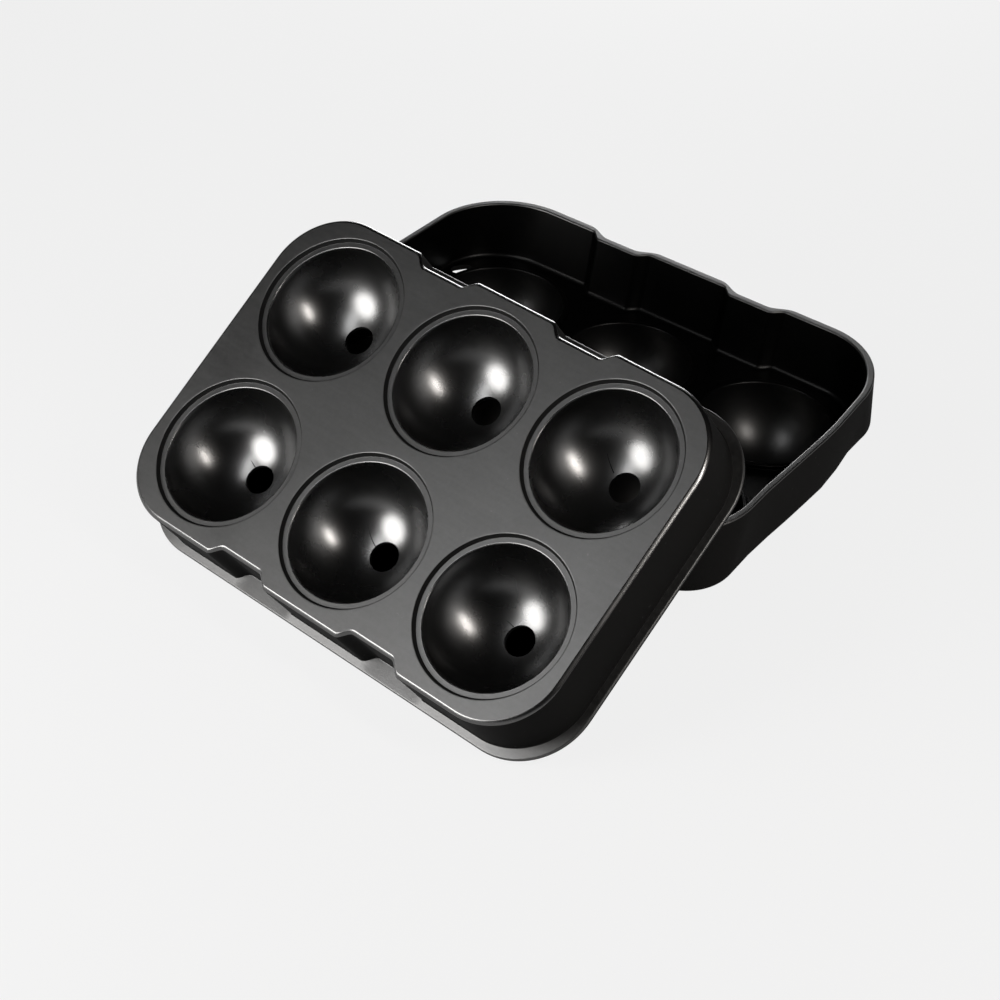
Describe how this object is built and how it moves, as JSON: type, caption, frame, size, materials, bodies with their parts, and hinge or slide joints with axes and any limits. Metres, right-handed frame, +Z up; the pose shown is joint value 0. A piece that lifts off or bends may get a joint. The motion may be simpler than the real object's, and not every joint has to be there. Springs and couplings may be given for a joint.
{
  "type": "ice ball mold",
  "caption": "Black silicone mould for ice balls: a deep tray with half-ball cups, and a lid with a fill hole over each cup, taken off and leaning on the tray's rim.",
  "frame": {"origin": "middle of the footprint of the tray and the leaning lid, on the surface that they stand on", "axes": "+Z up, +X along the long side of the tray, +Y across the tray from the lid's side to the far side"},
  "size_m": [0.18, 0.2054, 0.0854],
  "materials": {
    "tray": "satin moulded silicone, black",
    "lid": "satin moulded silicone, black, with fine dust"
  },
  "bodies": {
    "root": {"tray": "tray", "lid": "lid"}
  },
  "joints": []
}
